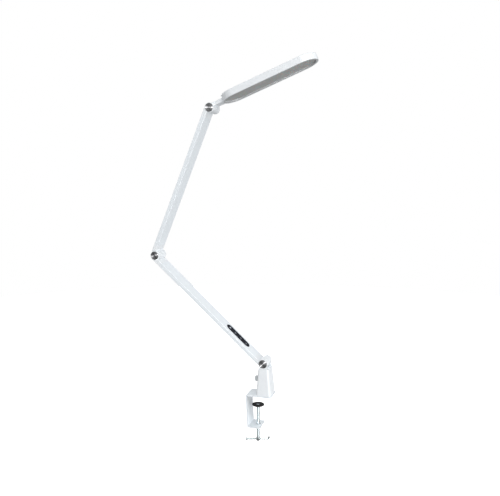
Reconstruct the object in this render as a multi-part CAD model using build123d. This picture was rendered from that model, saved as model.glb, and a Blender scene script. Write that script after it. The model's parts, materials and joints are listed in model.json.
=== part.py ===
from build123d import *
import os
from math import cos, radians, sin

# Clamp-on LED swing-arm desk lamp, in millimetres, +Z up.
# Origin: table-contact face of the clamp, on the post's swivel axis.
# The arms swing in the XZ plane, the head reaches towards +X, hinge bolts run along Y.

# ---- overall layout -------------------------------------------------------
HINGE_Z = 77.5          # base hinge axis above the table face
LOWER_LEN = 350.0       # base hinge to elbow
UPPER_LEN = 358.0       # elbow to head hinge
LOWER_ANGLE = 138.2     # direction of the lower arm, degrees from +X towards +Z
UPPER_ANGLE = 67.4
HEAD_ANGLE = 21.2

# ---- arms and hinges ------------------------------------------------------
ARM_W = 39.4            # width of both arms along Y
ARM_OUT = -10.7         # outer face, measured from the hinge line towards the inner side
ARM_IN = -1.5           # inner face
ARM_R = 1.0             # corner radius of the arm section
ARM_WALL = 1.5
SEAM = 24.0             # end fitting meets the tube this far from the hinge axis
PLUG = 18.0             # length of fitting inside the tube
BARREL_R = 10.7
KNUCKLE_Y = 13.5        # half width of a centre knuckle
CHEEK_Y = 13.8          # inner face of a fork cheek
SWEEP_R = 11.0          # relief radius around the other half of a hinge
CAP_R = 9.4
CAP_PROUD = 0.87
CAP_SEAT = 18.5         # floor of the cap recess, from the middle plane
WEB_Y = 15.5            # bolt head and nut bear on the cheek here
BOLT_R = 3.0

# ---- post -----------------------------------------------------------------
PLATE_TOP = 4.0
FOOT_TOP = 14.0
POST_TOP = HINGE_Z - 12.2
POST_BASE_X = 32.8
POST_BASE_Y = 43.0
POST_BASE_MID = 1.2     # the post leans out a little more on its +X side
POST_TOP_X = 23.6
POST_TOP_MID = 0.25
POST_WALL = 2.5
SPIGOT_R = 5.5
LOCK_Z = 37.5
KNOB_SPLIT = -16.8       # black collar meets the pale cap of the lock knob

# ---- clamp ----------------------------------------------------------------
PLATE_RIGHT = 19.2
PLATE_LEFT = -39.8
CLAMP_HALF_Y = 22.8
STRIP_T = 3.0
JAW_TOP = -69.5
JAW_RIGHT = -6.0
SCREW_X = -16.3
SCREW_R = 4.0
PAD_TOP = -22.5
PAD_R = 13.8
TEE_Z = -105.8
TEE_TURN = 17.5         # the cross bar's heading at rest, degrees about +Z
TEE_R = 2.2

# ---- head -----------------------------------------------------------------
HEAD_START = 28.8       # from the head hinge to the near end of the shell
HEAD_LEN = 224.0
HEAD_W = 67.5
HEAD_TOP = -14.0
HEAD_RIM = 0.6
HEAD_WALL = 2.0

# ---- control strip --------------------------------------------------------
STRIP_MID = 84.5        # from the base hinge, along the lower arm
STRIP_LEN = 70.0
STRIP_W = 20.0
ICON_STEP = 16.9

os.makedirs("parts", exist_ok=True)


def save(name, shape):
    export_step(shape, "parts/" + name + ".step")


def block(x0, x1, y0, y1, z0, z1):
    middle = Pos((x0 + x1) / 2, (y0 + y1) / 2, (z0 + z1) / 2)
    return middle * Box(x1 - x0, y1 - y0, z1 - z0)


def xcyl(r, x0, x1, y=0.0, z=0.0):
    return Pos((x0 + x1) / 2, y, z) * Rot(0, 90, 0) * Cylinder(r, x1 - x0)


def ycyl(r, y0, y1, x=0.0, z=0.0):
    return Pos(x, (y0 + y1) / 2, z) * Rot(90, 0, 0) * Cylinder(r, y1 - y0)


def zcyl(r, z0, z1, x=0.0, y=0.0):
    return Pos(x, y, (z0 + z1) / 2) * Cylinder(r, z1 - z0)


def rounded_bar(x0, x1, half_w, z0, z1, r):
    """Rounded rectangle in YZ, run along X."""
    start = Plane(origin=(x0, 0, (z0 + z1) / 2), x_dir=(0, 1, 0), z_dir=(1, 0, 0))
    return extrude(start * RectangleRounded(2 * half_w, z1 - z0, r), amount=x1 - x0)


def rounded_plate(x, y, length, width, r, z0, z1):
    return extrude(Pos(x, y, z0) * RectangleRounded(length, width, r), amount=z1 - z0)


def stadium(x0, x1, width, z0, z1):
    """Plate with full-round ends, along X."""
    outline = Pos((x0 + x1) / 2, 0, z0) * SlotOverall(x1 - x0, width)
    return extrude(outline, amount=z1 - z0)


def both_sides(shape):
    return shape + mirror(shape, about=Plane.XZ)


def edges_at(shape, points, reach=0.6):
    """Edges whose middle is within reach of one of the points."""
    found = []
    for edge in shape.edges():
        middle = edge.center()
        for p in points:
            if (middle - Vector(*p)).length < reach:
                found.append(edge)
                break
    return found


def group(shapes):
    return Compound(children=list(shapes))


def along(angle, distance, start):
    a = radians(angle)
    return start + Vector(cos(a), 0, sin(a)) * distance


def swing_frame(start, angle):
    """Frame of an arm: +X along it, +Z towards its inner side."""
    a = radians(angle)
    plane = Plane(origin=start, x_dir=(cos(a), 0, sin(a)), z_dir=(sin(a), 0, -cos(a)))
    return Location(plane)


BASE = Vector(0, 0, HINGE_Z)
ELBOW = along(LOWER_ANGLE, LOWER_LEN, BASE)
HEAD = along(UPPER_ANGLE, UPPER_LEN, ELBOW)
IN_LOWER = swing_frame(BASE, LOWER_ANGLE)
IN_UPPER = swing_frame(ELBOW, UPPER_ANGLE)
IN_HEAD = swing_frame(HEAD, HEAD_ANGLE)

HALF_W = ARM_W / 2


# ---------------------------------------------------------------------------
# Clamp
# ---------------------------------------------------------------------------
def make_clamp_frame():
    top = PLATE_TOP
    bottom = JAW_TOP - STRIP_T
    outline = [
        (PLATE_RIGHT, top),
        (PLATE_LEFT, top),
        (PLATE_LEFT + 4.0, bottom),
        (JAW_RIGHT, bottom),
        (JAW_RIGHT, JAW_TOP),
        (PLATE_LEFT + 7.0, JAW_TOP),
        (PLATE_LEFT + 3.15, top - STRIP_T),
        (PLATE_RIGHT, top - STRIP_T),
    ]
    face = make_face(Plane.XZ * Polyline(*outline, close=True))
    frame = extrude(face, amount=CLAMP_HALF_Y, both=True)
    outer = [(PLATE_LEFT, 0, top), (PLATE_LEFT + 4.0, 0, bottom)]
    inner = [(PLATE_LEFT + 7.0, 0, JAW_TOP), (PLATE_LEFT + 3.15, 0, top - STRIP_T)]
    frame = fillet(edges_at(frame, outer), 2.2)
    frame = fillet(edges_at(frame, inner), 0.6)
    plate_ends = []
    jaw_ends = []
    for side in (-1, 1):
        plate_ends.append((PLATE_RIGHT, side * CLAMP_HALF_Y, top - STRIP_T / 2))
        jaw_ends.append((JAW_RIGHT, side * CLAMP_HALF_Y, JAW_TOP - STRIP_T / 2))
    frame = fillet(edges_at(frame, plate_ends), 1.6)
    frame = fillet(edges_at(frame, jaw_ends), 5.0)
    frame -= zcyl(5.05, 0, 5)
    frame -= Pos(0, 0, 1.6) * Cone(6.6, 5.05, 1.2)
    frame -= zcyl(5.5, bottom - 1, JAW_TOP + 1, SCREW_X)
    return frame


def make_spigot():
    pin = zcyl(13.0, PLATE_TOP, 6.6) + zcyl(5.0, 1.0, PLATE_TOP)
    pin += Pos(0, 0, 1.6) * Cone(6.5, 5.0, 1.2)
    pin += zcyl(SPIGOT_R, 6.6, 47.0)
    pin = chamfer(pin.edges().sort_by(Axis.Z)[-1], 0.8)
    pin -= zcyl(9, 35.0, 40.0) - zcyl(4.6, 35.0, 40.0)
    pin -= zcyl(9, 44.5, 45.5) - zcyl(4.7, 44.5, 45.5)
    return pin


def make_tee_bar():
    """Cross bar: an upset head on one end, the other end bent up to keep it in the screw."""
    points = [(-24.0, 0, 0), (25.8, 0, 0), (25.8, 0, 5.2)]
    path = FilletPolyline(*points, radius=3.2)
    profile = Plane(origin=(-24.0, 0, 0), z_dir=(1, 0, 0)) * Circle(TEE_R)
    bar = sweep(profile, path=path)
    head = xcyl(3.1, -27.6, -23.9)
    head = fillet(head.edges().filter_by(GeomType.CIRCLE), 0.9)
    bar += head
    return Pos(SCREW_X, 0, TEE_Z) * Rot(0, 0, TEE_TURN) * Pos(-1.0, 0, 0) * bar


def make_clamp_screw():
    bottom = TEE_Z - 4.5
    screw = zcyl(SCREW_R, bottom, -25.8)
    screw = fillet(screw.edges().filter_by(GeomType.CIRCLE).sort_by(Axis.Z)[0], 1.6)
    screw += zcyl(2.5, -25.9, -22.9)
    screw -= zcyl(4, -24.05, -23.25) - zcyl(2.1, -24.05, -23.25)
    screw = Pos(SCREW_X, 0, 0) * screw
    hole = Pos(SCREW_X, 0, TEE_Z) * Rot(0, 0, TEE_TURN) * xcyl(TEE_R + 0.08, -9, 9)
    return screw - hole


def make_jaw_nut():
    bottom = JAW_TOP - STRIP_T
    nut = zcyl(5.45, bottom, JAW_TOP - 0.1, SCREW_X)
    hexagon = Pos(SCREW_X, 0, bottom - 6.0) * RegularPolygon(8.2, 6)
    nut += extrude(hexagon, amount=6.0)
    return nut - zcyl(SCREW_R + 0.08, bottom - 7, JAW_TOP + 1, SCREW_X)


def make_pressure_pad():
    pad = zcyl(PAD_R, PAD_TOP - 3.0, PAD_TOP)
    pad = fillet(pad.edges().filter_by(GeomType.CIRCLE), 0.8)
    pad -= zcyl(5.4, PAD_TOP - 1.5, PAD_TOP + 1)
    pad -= zcyl(2.58, PAD_TOP - 4, PAD_TOP)
    return Pos(SCREW_X, 0, 0) * pad


save("clamp_frame", make_clamp_frame())
save("table_liner", rounded_plate(-9.0, 0, 50.0, 40.0, 3.0, 0.0, 1.0))
save("swivel_spigot", make_spigot())
save("jaw_nut", make_jaw_nut())
save("clamp_screw", make_clamp_screw())
save("pressure_pad", make_pressure_pad())
clip = zcyl(4.6, -23.95, -23.35, SCREW_X) - zcyl(2.15, -24.5, -23, SCREW_X)
save("pad_clip", clip - block(SCREW_X, SCREW_X + 6, -1.2, 1.2, -25, -23))
save("tee_bar", make_tee_bar())


# ---------------------------------------------------------------------------
# Post
# ---------------------------------------------------------------------------
def post_section(middle, x_size, y_size, r, z):
    return Pos(middle, 0, z) * RectangleRounded(x_size, y_size, r)


def make_post_shell():
    taper = loft([
        post_section(POST_BASE_MID, POST_BASE_X, POST_BASE_Y, 4.5, FOOT_TOP),
        post_section(POST_TOP_MID, POST_TOP_X, ARM_W, 4.0, POST_TOP),
    ])
    inset = 2 * POST_WALL
    hollow = loft([
        post_section(POST_BASE_MID, POST_BASE_X - inset, POST_BASE_Y - inset, 2.5, FOOT_TOP),
        post_section(POST_TOP_MID, POST_TOP_X - inset, ARM_W - inset, 1.8, POST_TOP - 4.0),
    ])
    taper = fillet(taper.faces().sort_by(Axis.Z)[-1].edges(), 1.0)
    shell = taper - hollow
    shell += both_sides(zcyl(3.0, FOOT_TOP, 30.0, 0, 16.6)) & taper
    cheek = ycyl(BARREL_R, CHEEK_Y, HALF_W, 0, HINGE_Z)
    cheek = chamfer(cheek.edges().filter_by(GeomType.CIRCLE), 0.4)
    cheek += block(-8.3, 9.4, CHEEK_Y, HALF_W, POST_TOP - 2, HINGE_Z - 5.0)
    cheek -= ycyl(CAP_R + 0.1, CAP_SEAT, HALF_W + 1, 0, HINGE_Z)
    cheek -= ycyl(BOLT_R + 0.1, CHEEK_Y - 1, HALF_W + 1, 0, HINGE_Z)
    cheek -= ycyl(6.0, WEB_Y, HALF_W, 0, HINGE_Z)
    shell += both_sides(cheek)
    for side in (-1, 1):
        shell -= zcyl(1.25, FOOT_TOP - 1, 26.0, 0, side * 16.6)
    shell -= xcyl(3.0, -20, -8, 0, LOCK_Z)
    shell -= ycyl(4.3, 14, 25, 0, 44.0)
    return shell


def make_post_foot():
    foot = rounded_plate(1.3, 0, 33.4, 43.8, 4.8, PLATE_TOP + 0.3, FOOT_TOP)
    foot = fillet(foot.faces().sort_by(Axis.Z)[-1].edges(), 0.5)
    foot += zcyl(9.0, FOOT_TOP - 1, 50.0)
    foot -= zcyl(13.5, 0, 8.0)
    foot -= zcyl(7.5, 7.0, 31.0)
    foot -= zcyl(SPIGOT_R + 0.35, 30, 51)
    foot -= zcyl(7.4, 44.2, 51)
    foot -= xcyl(2.55, -12, -4, 0, LOCK_Z)
    for side in (-1, 1):
        foot -= zcyl(1.35, 0, FOOT_TOP + 1, 0, side * 16.6)
        foot -= zcyl(2.4, 0, 8.0, 0, side * 16.6)
    return foot


def make_foot_screws():
    screws = []
    for side in (-1, 1):
        screw = zcyl(2.3, 5.8, 8.0, 0, side * 16.6) + zcyl(1.2, 7.9, 25.0, 0, side * 16.6)
        screws.append(screw - block(-0.4, 0.4, side * 16.6 - 2, side * 16.6 + 2, 5, 6.6))
    return group(screws)


def make_dc_inlet():
    """Barrel jack let into the far wall, its socket facing +Y."""
    jack = ycyl(4.25, 10.6, 19.2, 0, 44.0) + ycyl(5.4, 15.9, 17.15, 0, 44.0)
    jack -= ycyl(2.8, 12.5, 21, 0, 44.0)
    return jack + ycyl(1.0, 12.0, 18.4, 0, 44.0)


def make_lock_knob():
    collar = xcyl(6.5, KNOB_SPLIT, -14.3, 0, LOCK_Z)
    for turn in range(0, 360, 24):
        a = radians(turn)
        collar -= xcyl(0.75, -20, -13, 6.7 * cos(a), LOCK_Z + 6.7 * sin(a))
    return collar - xcyl(2.5, -20, -13, 0, LOCK_Z)


def make_knob_cap():
    cap = xcyl(6.8, -23.6, KNOB_SPLIT, 0, LOCK_Z)
    cap = fillet(cap.edges().filter_by(GeomType.CIRCLE).sort_by(Axis.X)[0], 2.6)
    return cap - xcyl(2.5, -17.4, -13, 0, LOCK_Z)


save("post_shell", make_post_shell())
save("post_foot", make_post_foot())
save("foot_screws", make_foot_screws())
save("swivel_bush", zcyl(7.45, 8.05, 30.9) - zcyl(SPIGOT_R + 0.06, 8, 31))
save("thrust_washer", zcyl(12.6, 6.66, 8.0) - zcyl(SPIGOT_R + 0.4, 6, 9))
spigot_clip = zcyl(6.9, 44.6, 45.4) - zcyl(4.75, 44, 46) - block(0, 8, -2, 2, 44, 46)
save("spigot_clip", spigot_clip)
save("dc_inlet", make_dc_inlet())
save("lock_knob", make_lock_knob())
save("lock_knob_cap", make_knob_cap())
save("lock_stud", xcyl(2.48, -17.35, -7.0, 0, LOCK_Z))
save("lock_tip", xcyl(2.0, -6.92, -4.68, 0, LOCK_Z))


# ---------------------------------------------------------------------------
# Hinges: a clamped bolt, friction discs, a bush and two caps at each axis
# ---------------------------------------------------------------------------
def make_hinge(name, centre):
    place = Pos(*centre)
    bolt = ycyl(5.1, -18.4, -WEB_Y) + ycyl(BOLT_R, -WEB_Y - 0.1, 18.2)
    socket = Plane(origin=(0, -18.4, 0), z_dir=(0, -1, 0)) * RegularPolygon(2.3, 6)
    bolt -= extrude(socket, amount=-1.7)
    hexagon = Plane(origin=(0, WEB_Y, 0), z_dir=(0, 1, 0)) * RegularPolygon(5.7, 6)
    nut = extrude(hexagon, amount=2.8) - ycyl(BOLT_R + 0.05, 10, 20)
    washer = ycyl(8.8, 12.8, CHEEK_Y) - ycyl(BOLT_R + 0.15, 12, 15)
    bush = ycyl(5.0, -12.7, 12.7) - ycyl(BOLT_R + 0.06, -13, 13)
    cap = ycyl(CAP_R, CAP_SEAT + 0.02, HALF_W + CAP_PROUD)
    rim = cap.edges().filter_by(GeomType.CIRCLE).sort_by(Axis.Y)[-1]
    cap = chamfer(rim, 0.5)
    save(name + "_bolt", place * bolt)
    save(name + "_nut", place * nut)
    save(name + "_friction_discs", place * group([washer, mirror(washer, about=Plane.XZ)]))
    save(name + "_bush", place * bush)
    save(name + "_caps", place * group([cap, mirror(cap, about=Plane.XZ)]))


make_hinge("base_hinge", BASE)
make_hinge("elbow_hinge", ELBOW)
make_hinge("head_hinge", HEAD)


# ---------------------------------------------------------------------------
# Arm end fittings, each with its hinge axis at its own origin, arm towards +X
# ---------------------------------------------------------------------------
def arm_plug():
    inner = HALF_W - ARM_WALL - 0.05
    low = ARM_OUT + ARM_WALL + 0.05
    high = ARM_IN - ARM_WALL - 0.05
    plug = rounded_bar(SEAM - 2, SEAM + PLUG, inner, low, high, 0.8)
    return plug


def wire_way():
    return block(14, SEAM + PLUG + 1, -9, 9, -7.6, -4.4)


def hinge_relief(y0, y1):
    cut = ycyl(SWEEP_R, y0, y1)
    return cut + block(-20, 6.5, y0, y1, -20, 5)


def make_knuckle():
    body = rounded_bar(0, SEAM, HALF_W, ARM_OUT, ARM_IN, ARM_R)
    body -= both_sides(hinge_relief(KNUCKLE_Y, HALF_W + 5))
    barrel = ycyl(BARREL_R, -KNUCKLE_Y, KNUCKLE_Y)
    body += chamfer(barrel.edges().filter_by(GeomType.CIRCLE), 0.3)
    body += arm_plug()
    body -= ycyl(5.02, -20, 20)
    body -= both_sides(ycyl(9.2, 12.75, 15))
    body -= wire_way()
    body -= zcyl(1.25, -12, -6, SEAM + 9)
    return body


def make_fork():
    body = rounded_bar(0, SEAM, HALF_W, ARM_OUT, ARM_IN, ARM_R)
    body -= hinge_relief(-CHEEK_Y, CHEEK_Y)
    cheek = ycyl(BARREL_R, CHEEK_Y, HALF_W)
    cheek = chamfer(cheek.edges().filter_by(GeomType.CIRCLE), 0.4)
    body += both_sides(cheek)
    body += arm_plug()
    body -= both_sides(ycyl(CAP_R + 0.1, CAP_SEAT, HALF_W + 1))
    body -= both_sides(ycyl(BOLT_R + 0.1, CHEEK_Y - 1, HALF_W))
    body -= both_sides(ycyl(6.0, WEB_Y, HALF_W))
    body -= wire_way()
    body -= zcyl(1.25, -12, -6, SEAM + 9)
    return body


def make_tube(length):
    tube = rounded_bar(SEAM, length - SEAM, HALF_W, ARM_OUT, ARM_IN, ARM_R)
    wall = ARM_WALL
    tube -= rounded_bar(SEAM - 1, length, HALF_W - wall, ARM_OUT + wall, ARM_IN - wall, 0.9)
    for x in (SEAM + 9, length - SEAM - 9):
        tube -= zcyl(1.45, -12, -8.5, x)
        tube -= Pos(x, 0, ARM_OUT + 0.5) * Cone(2.9, 1.5, 1.4)
    return tube


def make_tube_screws(length):
    screws = []
    for x in (SEAM + 9, length - SEAM - 9):
        head = Pos(x, 0, ARM_OUT + 0.75) * Cone(2.6, 1.2, 1.3)
        screws.append(head + zcyl(1.2, ARM_OUT + 1.3, -6.2, x))
    return group(screws)


def far_end(length, shape):
    """Turn a fitting round so that it closes the far end of an arm."""
    return Pos(length, 0, 0) * Rot(0, 0, 180) * shape


knuckle = make_knuckle()
fork = make_fork()


# ---------------------------------------------------------------------------
# Lower arm, with the touch control strip on its inner face
# ---------------------------------------------------------------------------
def strip_plate(inset, z0, z1):
    half = STRIP_LEN / 2 - inset
    return stadium(STRIP_MID - half, STRIP_MID + half, STRIP_W - 2 * inset, z0, z1)


def icon_places():
    return [STRIP_MID + (i - 1.5) * ICON_STEP for i in range(4)]


lower_tube = make_tube(LOWER_LEN)
lower_tube -= strip_plate(-0.05, ARM_IN - 0.8, 0)
lower_tube -= strip_plate(2.5, -4, 0)
lens = strip_plate(0, ARM_IN - 0.8, ARM_IN + 0.2)
icons = []
pads = []
for x in icon_places():
    lens -= zcyl(2.5, ARM_IN, ARM_IN + 1, x)
    icons.append(zcyl(2.48, ARM_IN, ARM_IN + 0.2, x))
    pads.append(zcyl(3.4, -3.5, ARM_IN - 0.82, x))
board = rounded_plate(STRIP_MID, 0, 76, 15, 1, -4.7, -3.52)
board += block(STRIP_MID - 30, STRIP_MID - 24, -3, 3, -5.7, -4.7)
board += block(STRIP_MID + 4, STRIP_MID + 10, -3, 3, -5.7, -4.7)
carrier = block(43.5, 129, -16.5, 16.5, -9.1, -3.1)
carrier -= block(45.5, 127, -14.5, 14.5, -7.4, 0)
carrier += both_sides(block(60, 110, 6.5, 9.5, -7.5, -4.72))
carrier -= block(43, 130, -6, 6, -7.4, -3.9)

save("lower_arm_tube", IN_LOWER * lower_tube)
save("lower_arm_knuckle", IN_LOWER * knuckle)
save("lower_arm_fork", IN_LOWER * far_end(LOWER_LEN, fork))
save("lower_arm_screws", IN_LOWER * make_tube_screws(LOWER_LEN))
save("control_lens", IN_LOWER * lens)
save("control_icons", IN_LOWER * group(icons))
save("touch_pads", IN_LOWER * group(pads))
save("touch_board", IN_LOWER * board)
save("board_carrier", IN_LOWER * carrier)


# ---------------------------------------------------------------------------
# Upper arm
# ---------------------------------------------------------------------------
save("upper_arm_tube", IN_UPPER * make_tube(UPPER_LEN))
save("upper_arm_knuckle", IN_UPPER * knuckle)
save("upper_arm_fork", IN_UPPER * far_end(UPPER_LEN, fork))
save("upper_arm_screws", IN_UPPER * make_tube_screws(UPPER_LEN))


# ---------------------------------------------------------------------------
# Head: light opening faces local +Z, its top cover is at HEAD_TOP
# ---------------------------------------------------------------------------
def head_plate(inset, z0, z1):
    start = HEAD_START + inset
    end = HEAD_START + HEAD_LEN - inset
    return stadium(start, end, HEAD_W - 2 * inset, z0, z1)


def ceiling_bosses():
    return [(62, 20), (62, -20), (222, 20), (222, -20)]


def make_head_neck():
    neck = rounded_bar(0, 46.0, KNUCKLE_Y, -9.0, -0.6, 1.4)
    neck -= head_plate(1.9, -6.4, 2)
    barrel = ycyl(BARREL_R, -KNUCKLE_Y, KNUCKLE_Y)
    neck += chamfer(barrel.edges().filter_by(GeomType.CIRCLE), 0.3)
    neck -= ycyl(5.02, -20, 20)
    neck -= both_sides(ycyl(9.2, 12.75, 15))
    neck -= block(14, 50, -3, 3, -7.8, -6.0)
    for side in (-1, 1):
        neck -= zcyl(1.35, -10, -5, 41, side * 8)
    return neck


def make_head_shell():
    shell = head_plate(0, HEAD_TOP, HEAD_RIM)
    shell = fillet(shell.faces().sort_by(Axis.Z)[0].edges(), 1.6)
    shell -= head_plate(HEAD_WALL, HEAD_TOP + HEAD_WALL, HEAD_RIM + 1)
    shell -= rounded_bar(20, 50, KNUCKLE_Y + 0.05, -9.05, -0.55, 1.4)
    for side in (-1, 1):
        shell += zcyl(3.0, -12.5, -9.0, 41, side * 8) - zcyl(1.15, -12, -8, 41, side * 8)
    for x, y in ceiling_bosses():
        shell += zcyl(3.0, -12.5, -7.4, x, y) - zcyl(1.15, -12, -7, x, y)
    for x in (150, 196):
        for y in (-9, 9):
            shell += zcyl(2.0, -12.5, -11.2, x, y)
    return shell


def make_head_screws():
    screws = []
    for x, y in ceiling_bosses():
        screws.append(zcyl(2.4, -4.98, -3.7, x, y) + zcyl(1.1, -11.0, -4.97, x, y))
    return group(screws)


def make_neck_screws():
    screws = []
    for side in (-1, 1):
        y = side * 8
        screws.append(zcyl(2.4, -6.4, -5.0, 41, y) + zcyl(1.1, -11.6, -6.39, 41, y))
    return group(screws)


heat_sink = rounded_plate(141, 0, 184, 48, 8, -7.4, -6.2)
led_board = rounded_plate(141, 0, 184, 48, 8, -6.2, -5.0)
for x, y in ceiling_bosses():
    heat_sink -= zcyl(1.2, -8, -5, x, y)
    led_board -= zcyl(1.2, -8, -4, x, y)
leds = []
for row in (-9, 9):
    for n in range(24):
        x = 60.5 + 7.0 * n
        leds.append(block(x - 1.4, x + 1.4, row - 1.75, row + 1.75, -5.0, -4.2))
driver = rounded_plate(173, 0, 52, 24, 1.5, -11.2, -10.0)
driver += block(152, 160, -8, 0, -10.0, -8.6)
driver += zcyl(3.5, -10.0, -8.0, 170, 3)
driver += block(182, 190, -6, 6, -10.0, -8.8)
bezel = head_plate(HEAD_WALL + 0.05, -2.0, HEAD_RIM) - head_plate(6.0, -3, 2)
diffuser = head_plate(4.0, -3.4, -2.0)
frame_ring = head_plate(4.0, -6.2, -3.4) - head_plate(7.0, -7, -3)

save("head_neck", IN_HEAD * make_head_neck())
save("head_shell", IN_HEAD * make_head_shell())
save("head_bezel", IN_HEAD * bezel)
save("diffuser", IN_HEAD * diffuser)
save("reflector_frame", IN_HEAD * frame_ring)
save("led_board", IN_HEAD * led_board)
save("leds", IN_HEAD * group(leds))
save("heat_sink", IN_HEAD * heat_sink)
save("driver_board", IN_HEAD * driver)
save("head_screws", IN_HEAD * make_head_screws())
save("neck_screws", IN_HEAD * make_neck_screws())
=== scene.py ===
import json
import math

import bmesh
import bpy
from mathutils import Matrix, Vector


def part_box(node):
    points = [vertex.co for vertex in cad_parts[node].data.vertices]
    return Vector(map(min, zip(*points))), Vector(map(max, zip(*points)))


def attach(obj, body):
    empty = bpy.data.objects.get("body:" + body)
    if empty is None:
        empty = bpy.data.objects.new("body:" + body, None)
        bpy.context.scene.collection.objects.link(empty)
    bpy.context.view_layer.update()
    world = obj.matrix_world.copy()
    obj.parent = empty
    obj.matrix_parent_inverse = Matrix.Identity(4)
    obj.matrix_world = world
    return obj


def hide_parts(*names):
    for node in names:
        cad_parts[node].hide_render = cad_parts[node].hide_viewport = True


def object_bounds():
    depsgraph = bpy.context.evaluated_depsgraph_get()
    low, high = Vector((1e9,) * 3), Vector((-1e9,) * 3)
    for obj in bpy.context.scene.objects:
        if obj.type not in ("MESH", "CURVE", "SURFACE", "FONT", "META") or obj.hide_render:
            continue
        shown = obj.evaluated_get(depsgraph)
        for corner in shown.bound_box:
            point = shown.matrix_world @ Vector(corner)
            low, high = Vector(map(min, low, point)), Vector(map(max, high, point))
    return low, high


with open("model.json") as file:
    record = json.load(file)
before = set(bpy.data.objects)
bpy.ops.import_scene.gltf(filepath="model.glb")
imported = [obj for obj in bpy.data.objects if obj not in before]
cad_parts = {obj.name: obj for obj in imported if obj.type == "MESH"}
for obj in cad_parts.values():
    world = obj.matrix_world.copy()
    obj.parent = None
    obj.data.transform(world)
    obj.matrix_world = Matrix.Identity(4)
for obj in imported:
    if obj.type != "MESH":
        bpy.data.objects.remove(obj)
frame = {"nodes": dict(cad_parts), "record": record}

MM = 0.001
cad_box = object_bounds()
record = frame["record"]
slot_of = {s["node"]: s["material_slot"] for s in record["subparts"]}
joint_at = {j["name"]: Vector(j["pos_m"]) for j in record["behaviour"]["joints"] if "pos_m" in j}
BASE, ELBOW, HEAD = (joint_at[n] for n in ("lower_arm_tilt", "elbow_tilt", "head_tilt"))


# ---------------------------------------------------------------------------
# Materials
# ---------------------------------------------------------------------------
class Nodes:
    """Builds one material's node tree."""

    def __init__(self, name):
        self.material = bpy.data.materials.new(name)
        self.material.use_nodes = True
        self.tree = self.material.node_tree
        self.shader = self.tree.nodes["Principled BSDF"]
        self.where = self.tree.nodes.new("ShaderNodeTexCoord").outputs["Object"]

    def set(self, **values):
        for name, value in values.items():
            self.shader.inputs[name.replace("_", " ")].default_value = value

    def link(self, out, socket):
        self.tree.links.new(out, socket)

    def noise(self, scale, detail=2.0, rough=0.5, stretch=None):
        node = self.tree.nodes.new("ShaderNodeTexNoise")
        node.inputs["Scale"].default_value = scale
        node.inputs["Detail"].default_value = detail
        node.inputs["Roughness"].default_value = rough
        where = self.where
        if stretch:
            mapping = self.tree.nodes.new("ShaderNodeMapping")
            mapping.inputs["Scale"].default_value = stretch
            self.link(where, mapping.inputs["Vector"])
            where = mapping.outputs["Vector"]
        self.link(where, node.inputs["Vector"])
        return node.outputs["Fac"]

    def cells(self, scale, feature="F1"):
        node = self.tree.nodes.new("ShaderNodeTexVoronoi")
        node.feature = feature
        node.inputs["Scale"].default_value = scale
        self.link(self.where, node.inputs["Vector"])
        return node.outputs["Distance"]

    def ramp(self, fac, stops):
        node = self.tree.nodes.new("ShaderNodeValToRGB")
        while len(node.color_ramp.elements) < len(stops):
            node.color_ramp.elements.new(0.5)
        for element, (place, colour) in zip(node.color_ramp.elements, stops):
            element.position = place
            element.color = (*colour, 1.0) if len(colour) == 3 else colour
        self.link(fac, node.inputs["Fac"])
        return node.outputs["Color"]

    def range(self, value, low, high, from_low=0.0, from_high=1.0):
        node = self.tree.nodes.new("ShaderNodeMapRange")
        limits = {"From Min": from_low, "From Max": from_high, "To Min": low, "To Max": high}
        for key, number in limits.items():
            node.inputs[key].default_value = number
        self.link(value, node.inputs["Value"])
        return node.outputs["Result"]

    def math(self, operation, a, b=None):
        node = self.tree.nodes.new("ShaderNodeMath")
        node.operation = operation
        for socket, value in zip(node.inputs, (a, b)):
            if value is None:
                continue
            if isinstance(value, (int, float)):
                socket.default_value = value
            else:
                self.link(value, socket)
        return node.outputs[0]

    def blend(self, fac, a, b):
        node = self.tree.nodes.new("ShaderNodeMix")
        node.data_type = "RGBA"
        for socket, value in zip((node.inputs["Factor"], node.inputs[6], node.inputs[7]), (fac, a, b)):
            if isinstance(value, (int, float)):
                socket.default_value = value
            elif isinstance(value, tuple):
                socket.default_value = (*value, 1.0)
            else:
                self.link(value, socket)
        return node.outputs[2]

    def bump(self, height, depth, strength):
        node = self.tree.nodes.new("ShaderNodeBump")
        node.inputs["Distance"].default_value = depth
        node.inputs["Strength"].default_value = strength
        self.link(height, node.inputs["Height"])
        self.link(node.outputs["Normal"], self.shader.inputs["Normal"])

    def colour(self, out):
        self.link(out, self.shader.inputs["Base Color"])

    def roughness(self, out):
        self.link(out, self.shader.inputs["Roughness"])


def painted(name, tone, rough=0.4, grain=2600, depth=0.00002, wash=0.03):
    """Sprayed or powder-coated metal: fine orange peel, faint colour drift and dust-fine speckle."""
    m = Nodes(name)
    drift = m.noise(9, 3, 0.55)
    peel = m.noise(grain, 2, 0.45)
    speck = m.noise(7000, 1, 0.5)
    low = tuple(c * (1 - wash) for c in tone)
    base = m.ramp(drift, [(0.3, low), (0.7, tone)])
    m.colour(m.blend(m.range(speck, 0.0, 0.05, 0.4, 0.75), base, tuple(c * 0.8 for c in tone)))
    m.roughness(m.range(m.noise(420, 3, 0.6), rough - 0.06, rough + 0.08, 0.3, 0.7))
    m.bump(peel, depth, 0.5)
    return m.material


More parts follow.
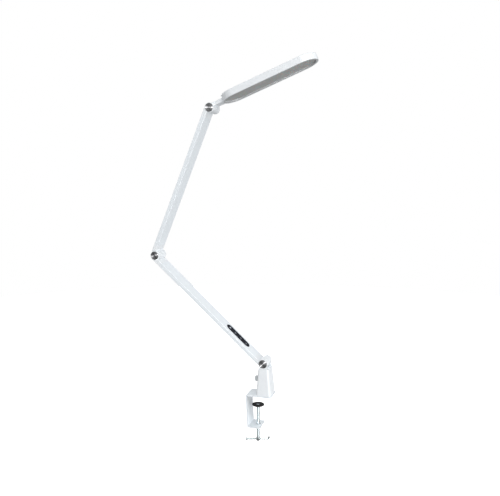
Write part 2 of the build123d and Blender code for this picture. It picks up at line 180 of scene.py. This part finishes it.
def moulded(name, tone, rough=0.45, grain=3800, depth=0.00003, wash=0.05):
    """Injection-moulded plastic with a spark-eroded texture."""
    m = Nodes(name)
    pits = m.cells(grain)
    drift = m.noise(30, 3, 0.6)
    base = m.ramp(drift, [(0.3, tuple(c * (1 - wash) for c in tone)), (0.7, tone)])
    m.colour(m.blend(m.range(pits, 0.10, 0.0, 0.0, 0.6), base, tuple(c * 0.72 for c in tone)))
    m.roughness(m.range(m.noise(260, 3, 0.6), rough - 0.07, rough + 0.09, 0.3, 0.7))
    m.bump(pits, depth, 0.45)
    return m.material


def metal(name, tone, rough=0.2, stretch=(1, 1, 1), grain=2200, depth=0.00001, shade=0.16):
    """Plated or bare metal with drawing lines and smudges."""
    m = Nodes(name)
    lines = m.noise(grain, 3, 0.6, stretch)
    smudge = m.noise(75, 4, 0.62)
    dark = tuple(c * (1 - shade) for c in tone)
    base = m.ramp(lines, [(0.3, dark), (0.7, tone)])
    m.colour(m.blend(m.range(smudge, 0.0, 0.22, 0.5, 0.8), base, tuple(c * 0.7 for c in tone)))
    m.roughness(m.range(smudge, rough * 0.75, rough * 1.5, 0.3, 0.75))
    m.bump(lines, depth, 0.35)
    m.set(Metallic=1.0)
    return m.material


def rubber(name, tone, grain=1500, depth=0.00009):
    """Closed-cell foam or soft rubber with pores and a dusty bloom."""
    m = Nodes(name)
    pores = m.cells(grain)
    dust = m.noise(180, 5, 0.68)
    base = m.ramp(dust, [(0.35, tone), (0.75, tuple(min(1, c * 2.1 + 0.006) for c in tone))])
    m.colour(m.blend(m.range(pores, 0.55, 0.0, 0.0, 0.45), base, tuple(c * 0.35 for c in tone)))
    m.roughness(m.range(dust, 0.68, 0.92, 0.3, 0.7))
    m.bump(pores, depth, 0.6)
    m.set(Specular_IOR_Level=0.3)
    return m.material


def spun(name):
    """Face-turned gunmetal: concentric cutter marks, whose grooves stretch each light into a wedge."""
    m = Nodes(name)
    split = m.tree.nodes.new("ShaderNodeSeparateXYZ")
    m.link(m.where, split.inputs[0])
    x, z = split.outputs[0], split.outputs[2]
    radius = m.math("SQRT", m.math("ADD", m.math("MULTIPLY", x, x), m.math("MULTIPLY", z, z)))
    rings = m.tree.nodes.new("ShaderNodeTexNoise")
    rings.noise_dimensions = "1D"
    rings.inputs["Scale"].default_value = 9000
    rings.inputs["Detail"].default_value = 2
    m.link(radius, rings.inputs["W"])
    m.colour(m.ramp(rings.outputs["Fac"], [(0.3, (0.17, 0.17, 0.18)), (0.7, (0.31, 0.305, 0.31))]))
    m.roughness(m.range(rings.outputs["Fac"], 0.38, 0.50, 0.3, 0.7))
    m.bump(rings.outputs["Fac"], 0.00002, 0.5)
    m.set(Metallic=1.0, Anisotropic=0.95, Anisotropic_Rotation=0.25)
    tangent = m.tree.nodes.new("ShaderNodeTangent")
    tangent.direction_type = "RADIAL"
    tangent.axis = "Y"
    m.link(tangent.outputs[0], m.shader.inputs["Tangent"])
    return m.material


def gloss_lens(name):
    """Piano-black lens of the touch strip with faint wiping marks."""
    m = Nodes(name)
    wipe = m.noise(160, 5, 0.6, (1, 0.15, 1))
    m.colour(m.ramp(wipe, [(0.3, (0.010, 0.011, 0.018)), (0.75, (0.018, 0.020, 0.030))]))
    m.roughness(m.range(wipe, 0.10, 0.24, 0.3, 0.75))
    m.set(Specular_IOR_Level=0.22)
    return m.material


def print_ink(name, tone):
    """Screen-printed ink with a mesh pattern; the power symbol at the top end is printed brightest."""
    m = Nodes(name)
    mesh = m.cells(5200)
    split = m.tree.nodes.new("ShaderNodeSeparateXYZ")
    m.link(m.where, split.inputs[0])
    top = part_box("control_icons")[1].z
    first = m.range(split.outputs[2], 0.0, 1.0, top - 7 * MM, top - 6 * MM)
    ink = m.blend(first, tuple(c * 0.42 for c in tone), tuple(c * 1.5 for c in tone))
    m.colour(m.blend(m.range(mesh, 0.0, 0.35, 0.2, 0.7), ink, tuple(c * 0.5 for c in tone)))
    m.roughness(m.range(m.noise(900, 2), 0.35, 0.55))
    m.bump(mesh, 0.00001, 0.4)
    return m.material


def frosted(name):
    """Opal sheet of the light panel: fine prism pattern over a milky body."""
    m = Nodes(name)
    prisms = m.cells(1150, "SMOOTH_F1")
    cloud = m.noise(26, 3, 0.5)
    base = m.ramp(cloud, [(0.3, (0.43, 0.435, 0.43)), (0.7, (0.495, 0.50, 0.495))])
    m.colour(m.blend(m.range(prisms, 0.0, 0.25, 0.1, 0.5), base, (0.33, 0.34, 0.335)))
    m.roughness(m.range(prisms, 0.30, 0.5, 0.0, 0.6))
    m.bump(prisms, 0.00006, 0.5)
    m.set(Subsurface_Weight=0.15, Subsurface_Scale=0.002)
    return m.material


def board(name, mask, copper):
    """Printed circuit board: solder mask over a faint net of tracks."""
    m = Nodes(name)
    brick = m.tree.nodes.new("ShaderNodeTexBrick")
    brick.inputs["Scale"].default_value = 330
    brick.inputs["Mortar Size"].default_value = 0.03
    brick.inputs["Color1"].default_value = (*mask, 1)
    brick.inputs["Color2"].default_value = (*(c * 0.86 for c in mask), 1)
    brick.inputs["Mortar"].default_value = (*copper, 1)
    m.link(m.where, brick.inputs["Vector"])
    patchy = m.range(m.noise(500, 2), 0.0, 0.2)
    m.colour(m.blend(patchy, brick.outputs["Color"], tuple(c * 0.7 for c in mask)))
    m.roughness(m.range(m.noise(300, 3), 0.28, 0.45))
    m.bump(brick.outputs["Fac"], 0.00003, 0.5)
    return m.material


def phosphor(name):
    m = Nodes(name)
    m.colour(m.ramp(m.noise(2500, 3, 0.7), [(0.3, (0.80, 0.62, 0.16)), (0.7, (0.92, 0.80, 0.34))]))
    m.roughness(m.range(m.noise(900, 2), 0.35, 0.6))
    m.set(Subsurface_Weight=0.2, Subsurface_Scale=0.0005)
    return m.material


WHITE = (0.822, 0.868, 0.905)
finish = {
    "white_paint": painted("white_powder_coat", WHITE, 0.38),
    "white_alloy": painted("white_coated_die_cast", (0.82, 0.866, 0.904), 0.42, grain=1900, depth=0.00003),
    "white_abs": moulded("white_moulded_plastic", (0.84, 0.872, 0.90), 0.45),
    "grey_abs": moulded("light_grey_moulded_plastic", (0.56, 0.60, 0.62), 0.38),
    "black_nylon": moulded("black_glass_filled_nylon", (0.006, 0.006, 0.007), 0.5, grain=3000, depth=0.00005),
    "black_foam": rubber("black_foam_rubber", (0.008, 0.008, 0.009)),
    "nylon": moulded("natural_nylon", (0.62, 0.61, 0.56), 0.4),
    "zinc_steel": metal("zinc_plated_steel", (0.62, 0.64, 0.66), 0.3),
    "spring_steel": metal("blued_spring_steel", (0.20, 0.21, 0.24), 0.32),
    "chrome_steel": metal("bright_chrome_steel", (0.80, 0.85, 0.87), 0.2,
                          grain=1400, depth=0.000006, shade=0.08),
    "brass": metal("turned_brass", (0.78, 0.58, 0.26), 0.28),
    "spun_gunmetal": spun("spun_gunmetal"),
    "friction_fibre": moulded("friction_fibre", (0.16, 0.13, 0.10), 0.75,
                              grain=1800, depth=0.00008, wash=0.3),
    "black_gloss": gloss_lens("gloss_black_lens"),
    "icon_white": print_ink("printed_icon_ink", (0.40, 0.44, 0.50)),
    "circuit_board": board("green_circuit_board", (0.015, 0.10, 0.045), (0.10, 0.24, 0.08)),
    "circuit_white": board("white_circuit_board", (0.74, 0.75, 0.74), (0.60, 0.61, 0.60)),
    "led_phosphor": phosphor("led_phosphor"),
    "bare_alloy": metal("extruded_bare_alloy", (0.76, 0.77, 0.78), 0.34, (0.05, 1, 1), 1600),
    "diffuser_plastic": frosted("frosted_prism_sheet"),
}

# nodes whose tone differs a little from their slot's
own_finish = {
    # painted shade: the bezel is the same white plastic as the shell, and its grey tone paints the shade
    # under the head
    "head_bezel": moulded("painted_shade_satin_bezel_plastic", (0.56, 0.575, 0.59), 0.4),
    "tee_bar": metal("dull_chrome_steel", (0.36, 0.40, 0.41), 0.2, grain=1400, depth=0.000006, shade=0.1),
    "pressure_pad": rubber("soft_black_pad_rubber", (0.004, 0.004, 0.005)),
    # painted shadow: the knob's collar is the same pale plastic as its cap, and its dark tone paints the
    # post's shadow falling on it
    "lock_knob": moulded("painted_shadow_grey_moulded_plastic", (0.24, 0.26, 0.28), 0.42),
    "lock_knob_cap": moulded("pale_grey_moulded_plastic", (0.66, 0.70, 0.72), 0.36),
}

for name, node in frame["nodes"].items():
    node.data.materials.clear()
    node.data.materials.append(own_finish.get(name, finish[slot_of[name]]))


# ---------------------------------------------------------------------------
# Mesh helpers
# ---------------------------------------------------------------------------
def piece(name, mesh, body, slot, at=(0, 0, 0), replaces=(), smooth=35):
    """A new object with a slot's finish, riding on a body."""
    obj = bpy.data.objects.new(name, mesh)
    bpy.context.scene.collection.objects.link(obj)
    obj.location = at
    mesh.materials.append(finish[slot])
    if smooth:
        mesh.polygons.foreach_set("use_smooth", [True] * len(mesh.polygons))
        mesh.set_sharp_from_angle(angle=math.radians(smooth))
    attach(obj, body)
    if replaces:
        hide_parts(*replaces)
    return obj


def mesh_of(bm, name):
    bmesh.ops.recalc_face_normals(bm, faces=bm.faces)
    mesh = bpy.data.meshes.new(name)
    bm.to_mesh(mesh)
    bm.free()
    return mesh


def lathe(bm, profile, axis, steps=96):
    """Turns (radius, height) pairs round an axis, closing the ends on it."""
    spin = {"Y": lambda r, h, a: (r * math.cos(a), h, r * math.sin(a)),
            "Z": lambda r, h, a: (r * math.cos(a), r * math.sin(a), h)}[axis]
    angles = [2 * math.pi * k / steps for k in range(steps)]
    rings = []
    for r, h in profile:
        if r < 1e-9:
            rings.append([bm.verts.new(spin(0, h, 0))])
        else:
            rings.append([bm.verts.new(spin(r, h, a)) for a in angles])
    for a, b in zip(rings, rings[1:]):
        for k in range(steps):
            n = (k + 1) % steps
            if len(a) == 1:
                bm.faces.new((a[0], b[k], b[n]))
            elif len(b) == 1:
                bm.faces.new((a[k], b[0], a[n]))
            else:
                bm.faces.new((a[k], b[k], b[n], a[n]))


# ---------------------------------------------------------------------------
# Hinge caps: turned discs with concentric cutter marks, one on each cheek
# ---------------------------------------------------------------------------
def spun_caps(name, node, body, centre):
    low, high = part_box(node)
    reach = high.y
    radius = (high.x - low.x) / 2
    face = reach - 0.08 * MM
    profile = [(0, 18.6 * MM), (radius - 0.05 * MM, 18.6 * MM), (radius - 0.05 * MM, reach - 0.55 * MM),
               (radius - 0.15 * MM, reach - 0.28 * MM), (radius - 0.45 * MM, reach - 0.02 * MM),
               (radius - 0.75 * MM, reach - 0.02 * MM), (radius - 0.9 * MM, face - 0.1 * MM)]
    r, up = radius - 1.1 * MM, True
    while r > 0.35 * MM:
        dish = 0.14 * MM * (1 - (r / radius) ** 2)
        profile.append((r, face - dish + (0.022 * MM if up else -0.012 * MM)))
        r -= 0.2 * MM
        up = not up
    profile.append((0, face - 0.16 * MM))
    bm = bmesh.new()
    lathe(bm, profile, "Y")
    lathe(bm, [(a, -h) for a, h in profile], "Y")
    caps = piece(name, mesh_of(bm, name), body, "spun_gunmetal", centre, (node,), smooth=50)


spun_caps("base_hinge_spun_caps", "base_hinge_caps", "post", BASE)
spun_caps("elbow_hinge_spun_caps", "elbow_hinge_caps", "lower_arm", ELBOW)
spun_caps("head_hinge_spun_caps", "head_hinge_caps", "upper_arm", HEAD)


# ---------------------------------------------------------------------------
# Clamp screw with a rolled thread, cross-drilled for the tee bar
# ---------------------------------------------------------------------------
THREAD_PITCH = 1.25 * MM
THREAD_MAJOR = 3.98 * MM                # radii
THREAD_MINOR = 3.42 * MM
BOSS_LENGTH = 10.8 * MM                 # plain end below the thread
NECK_LENGTH = 4.2 * MM                  # plain end above it
CROSS_HOLE_R = 2.3 * MM
CROSS_HOLE_UP = 4.5 * MM                # from the screw's lower end
CROSS_HOLE_HEADING = math.radians(17.5)


def clamp_screw():
    """The screw with a real thread: plain boss and cross hole below, turned neck for the pad above."""
    low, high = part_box("clamp_screw")
    centre = Vector(((low.x + high.x) / 2, (low.y + high.y) / 2, 0))
    pitch, major, minor = THREAD_PITCH, THREAD_MAJOR, THREAD_MINOR
    thread_top, thread_bottom = high.z - NECK_LENGTH, low.z + BOSS_LENGTH
    per_turn = 32
    turns = int((thread_top - thread_bottom) / pitch)

    # closed profile up the axis: boss, core, shoulder, neck with its clip groove
    neck = [(0.0, low.z), (2.4, low.z), (3.4, low.z + 0.45 * MM), (3.98, low.z + 1.5 * MM),
            (3.98, thread_bottom - 0.5 * MM), (3.42, thread_bottom), (3.42, thread_top),
            (3.98, thread_top + 0.3 * MM), (3.98, high.z - 3.1 * MM), (3.8, high.z - 2.9 * MM),
            (2.5, high.z - 2.9 * MM), (2.5, high.z - 1.15 * MM), (2.1, high.z - 1.15 * MM),
            (2.1, high.z - 0.35 * MM), (2.5, high.z - 0.35 * MM), (2.5, high.z - 0.2 * MM),
            (2.2, high.z), (0.0, high.z)]
    bm = bmesh.new()
    lathe(bm, [(r * MM, z) for r, z in neck], "Z", 48)
    core = piece("clamp_screw_shank", mesh_of(bm, "clamp_screw_shank"), "clamp_screw", "chrome_steel",
                 centre, ("clamp_screw",), smooth=30)

    # the hole that the cross bar slides through
    cutter = bmesh.new()
    bmesh.ops.create_cone(cutter, cap_ends=True, segments=40, depth=20 * MM,
                          radius1=CROSS_HOLE_R, radius2=CROSS_HOLE_R)
    hole = bpy.data.objects.new("cross_hole_cutter", mesh_of(cutter, "cross_hole_cutter"))
    hole.matrix_world = (Matrix.Translation((centre.x, centre.y, low.z + CROSS_HOLE_UP))
                         @ Matrix.Rotation(CROSS_HOLE_HEADING, 4, "Z") @ Matrix.Rotation(math.pi / 2, 4, "Y"))
    bpy.context.scene.collection.objects.link(hole)
    cut = core.modifiers.new("cross_hole", "BOOLEAN")
    cut.operation, cut.solver, cut.object = "DIFFERENCE", "EXACT", hole
    bpy.context.view_layer.update()
    drilled = bpy.data.meshes.new_from_object(core.evaluated_get(bpy.context.evaluated_depsgraph_get()))
    core.modifiers.clear()
    core.data = drilled
    bpy.data.objects.remove(hole)

    # rolled thread wound on the core, running out at both ends
    profile = [(0.0, minor), (0.14, minor), (0.44, major), (0.62, major), (0.92, minor)]
    bm = bmesh.new()
    rings = []
    for k in range(per_turn * turns + 1):
        a = 2 * math.pi * k / per_turn
        base = thread_bottom + pitch * (k / per_turn + 0.5)
        fade = min(1.0, k / per_turn, (per_turn * turns - k) / per_turn)
        ring = []
        for place, r in profile:
            faded = minor + (r - minor) * fade
            height = base + (place - 0.5) * pitch
            ring.append(bm.verts.new((faded * math.cos(a), faded * math.sin(a), height)))
        rings.append(ring)
    for a, b in zip(rings, rings[1:]):
        for i in range(len(profile) - 1):
            bm.faces.new((a[i], b[i], b[i + 1], a[i + 1]))
    piece("clamp_screw_thread", mesh_of(bm, "clamp_screw_thread"), "clamp_screw", "chrome_steel",
          centre, smooth=25)


clamp_screw()


# ---------------------------------------------------------------------------
# Camera, light and floor
# ---------------------------------------------------------------------------
CAMERA_PITCH_DOWN = 0.1121               # radians
CAMERA_YAW = 0.3063

camera = bpy.data.objects.new("camera", bpy.data.cameras.new("camera"))
bpy.context.scene.collection.objects.link(camera)
camera.location = (0.35022, -1.22097, 0.47829)
camera.rotation_euler = (math.pi / 2 - CAMERA_PITCH_DOWN, 0, CAMERA_YAW)
camera.data.sensor_width = 36
camera.data.lens = 41.76
camera.data.clip_start = 0.01
bpy.context.scene.camera = camera

scene = bpy.context.scene
scene.view_settings.view_transform = "Standard"
scene.view_settings.look = "None"

FLOOR_DROP = 0.35                       # from the lamp's lowest point at rest
SOFT_LEVEL = 0.57                       # the studio's mean level, and which way it brightens
SOFT_STEER = (0.35, -0.33, 0.37)


def studio_world():
    """White studio, brighter from the front, the right and above; metal sees one large soft box in it."""
    world = bpy.data.worlds.new("studio")
    scene.world = world
    world.use_nodes = True
    tree = world.node_tree
    tree.nodes.clear()
    new, link = tree.nodes.new, tree.links.new
    coord = new("ShaderNodeTexCoord")

    def toward(direction):
        dot = new("ShaderNodeVectorMath")
        dot.operation = "DOT_PRODUCT"
        dot.inputs[1].default_value = direction
        link(coord.outputs["Generated"], dot.inputs[0])
        return dot.outputs["Value"]

    def remap(value, from_low, from_high, low, high, smooth=False):
        node = new("ShaderNodeMapRange")
        if smooth:
            node.interpolation_type = "SMOOTHSTEP"
        limits = {"From Min": from_low, "From Max": from_high, "To Min": low, "To Max": high}
        for key, number in limits.items():
            node.inputs[key].default_value = number
        link(value, node.inputs["Value"])
        return node.outputs["Result"]

    def background(colour, strength):
        node = new("ShaderNodeBackground")
        node.inputs["Color"].default_value = (*colour, 1)
        if isinstance(strength, float):
            node.inputs["Strength"].default_value = strength
        else:
            link(strength, node.inputs["Strength"])
        return node.outputs[0]

    def choose(fac, a, b):
        node = new("ShaderNodeMixShader")
        link(fac, node.inputs["Fac"])
        link(a, node.inputs[1])
        link(b, node.inputs[2])
        return node.outputs[0]

    steer = Vector(SOFT_STEER)
    peak = SOFT_LEVEL + steer.length
    soft = remap(toward(steer.normalized()), -SOFT_LEVEL / steer.length, 1.0, 0.0, peak)
    box = remap(toward(Vector((0.45, -0.75, 0.48)).normalized()), 0.25, 0.8, 0.16, 1.35, smooth=True)
    path = new("ShaderNodeLightPath")
    lit = choose(path.outputs["Is Glossy Ray"], background((1, 1, 1), soft), background((0.97, 1, 1), box))
    out = new("ShaderNodeOutputWorld")
    link(choose(path.outputs["Is Camera Ray"], lit, background((1, 1, 1), 1.0)), out.inputs["Surface"])


def soft_box(name, place, aim, size, watts, glossy_only=False):
    """Round area light. All of them stand further out than the lamp's arms can swing."""
    light = bpy.data.lights.new(name, "AREA")
    light.shape = "DISK"
    light.size = size
    light.energy = watts
    box = bpy.data.objects.new(name, light)
    box.location = place
    box.rotation_euler = (Vector(aim) - Vector(place)).to_track_quat("-Z", "Y").to_euler()
    box.visible_camera = False
    box.visible_diffuse = not glossy_only
    scene.collection.objects.link(box)


def studio_floor():
    """Pale floor, well below the clamp: the cross bar and the head reach under it at some joint limits."""
    bm = bmesh.new()
    z = cad_box[0][2] - FLOOR_DROP
    bmesh.ops.create_circle(bm, cap_ends=True, segments=96, radius=4.0, matrix=Matrix.Translation((0, 0, z)))
    floor = bpy.data.objects.new("floor", mesh_of(bm, "floor"))
    scene.collection.objects.link(floor)
    m = Nodes("pale_floor")
    m.set(Base_Color=(0.9, 0.9, 0.9, 1), Roughness=0.9, Emission_Color=(1, 1, 1, 1), Emission_Strength=1.0)
    floor.data.materials.append(m.material)
    floor.visible_diffuse = False
    floor.visible_glossy = False
    floor.visible_shadow = False


studio_world()
studio_floor()
soft_box("key_soft_box", (1.15, -1.2, 2.1), (-0.05, 0, 0.25), 0.9, 5.0)
soft_box("glint_strip", (0.95, -1.62, 0.80), (-0.08, 0, 0.33), 0.22, 90.0, glossy_only=True)
soft_box("low_fill", (1.20, -1.25, -0.25), (0, 0, -0.02), 1.1, 5.6)
soft_box("back_fill", (-1.3, 1.45, 1.15), (-0.05, 0, 0.3), 1.3, 19.0)
soft_box("low_side_fill", (1.70, -0.22, -0.30), (0, 0, -0.05), 1.1, 6.0)
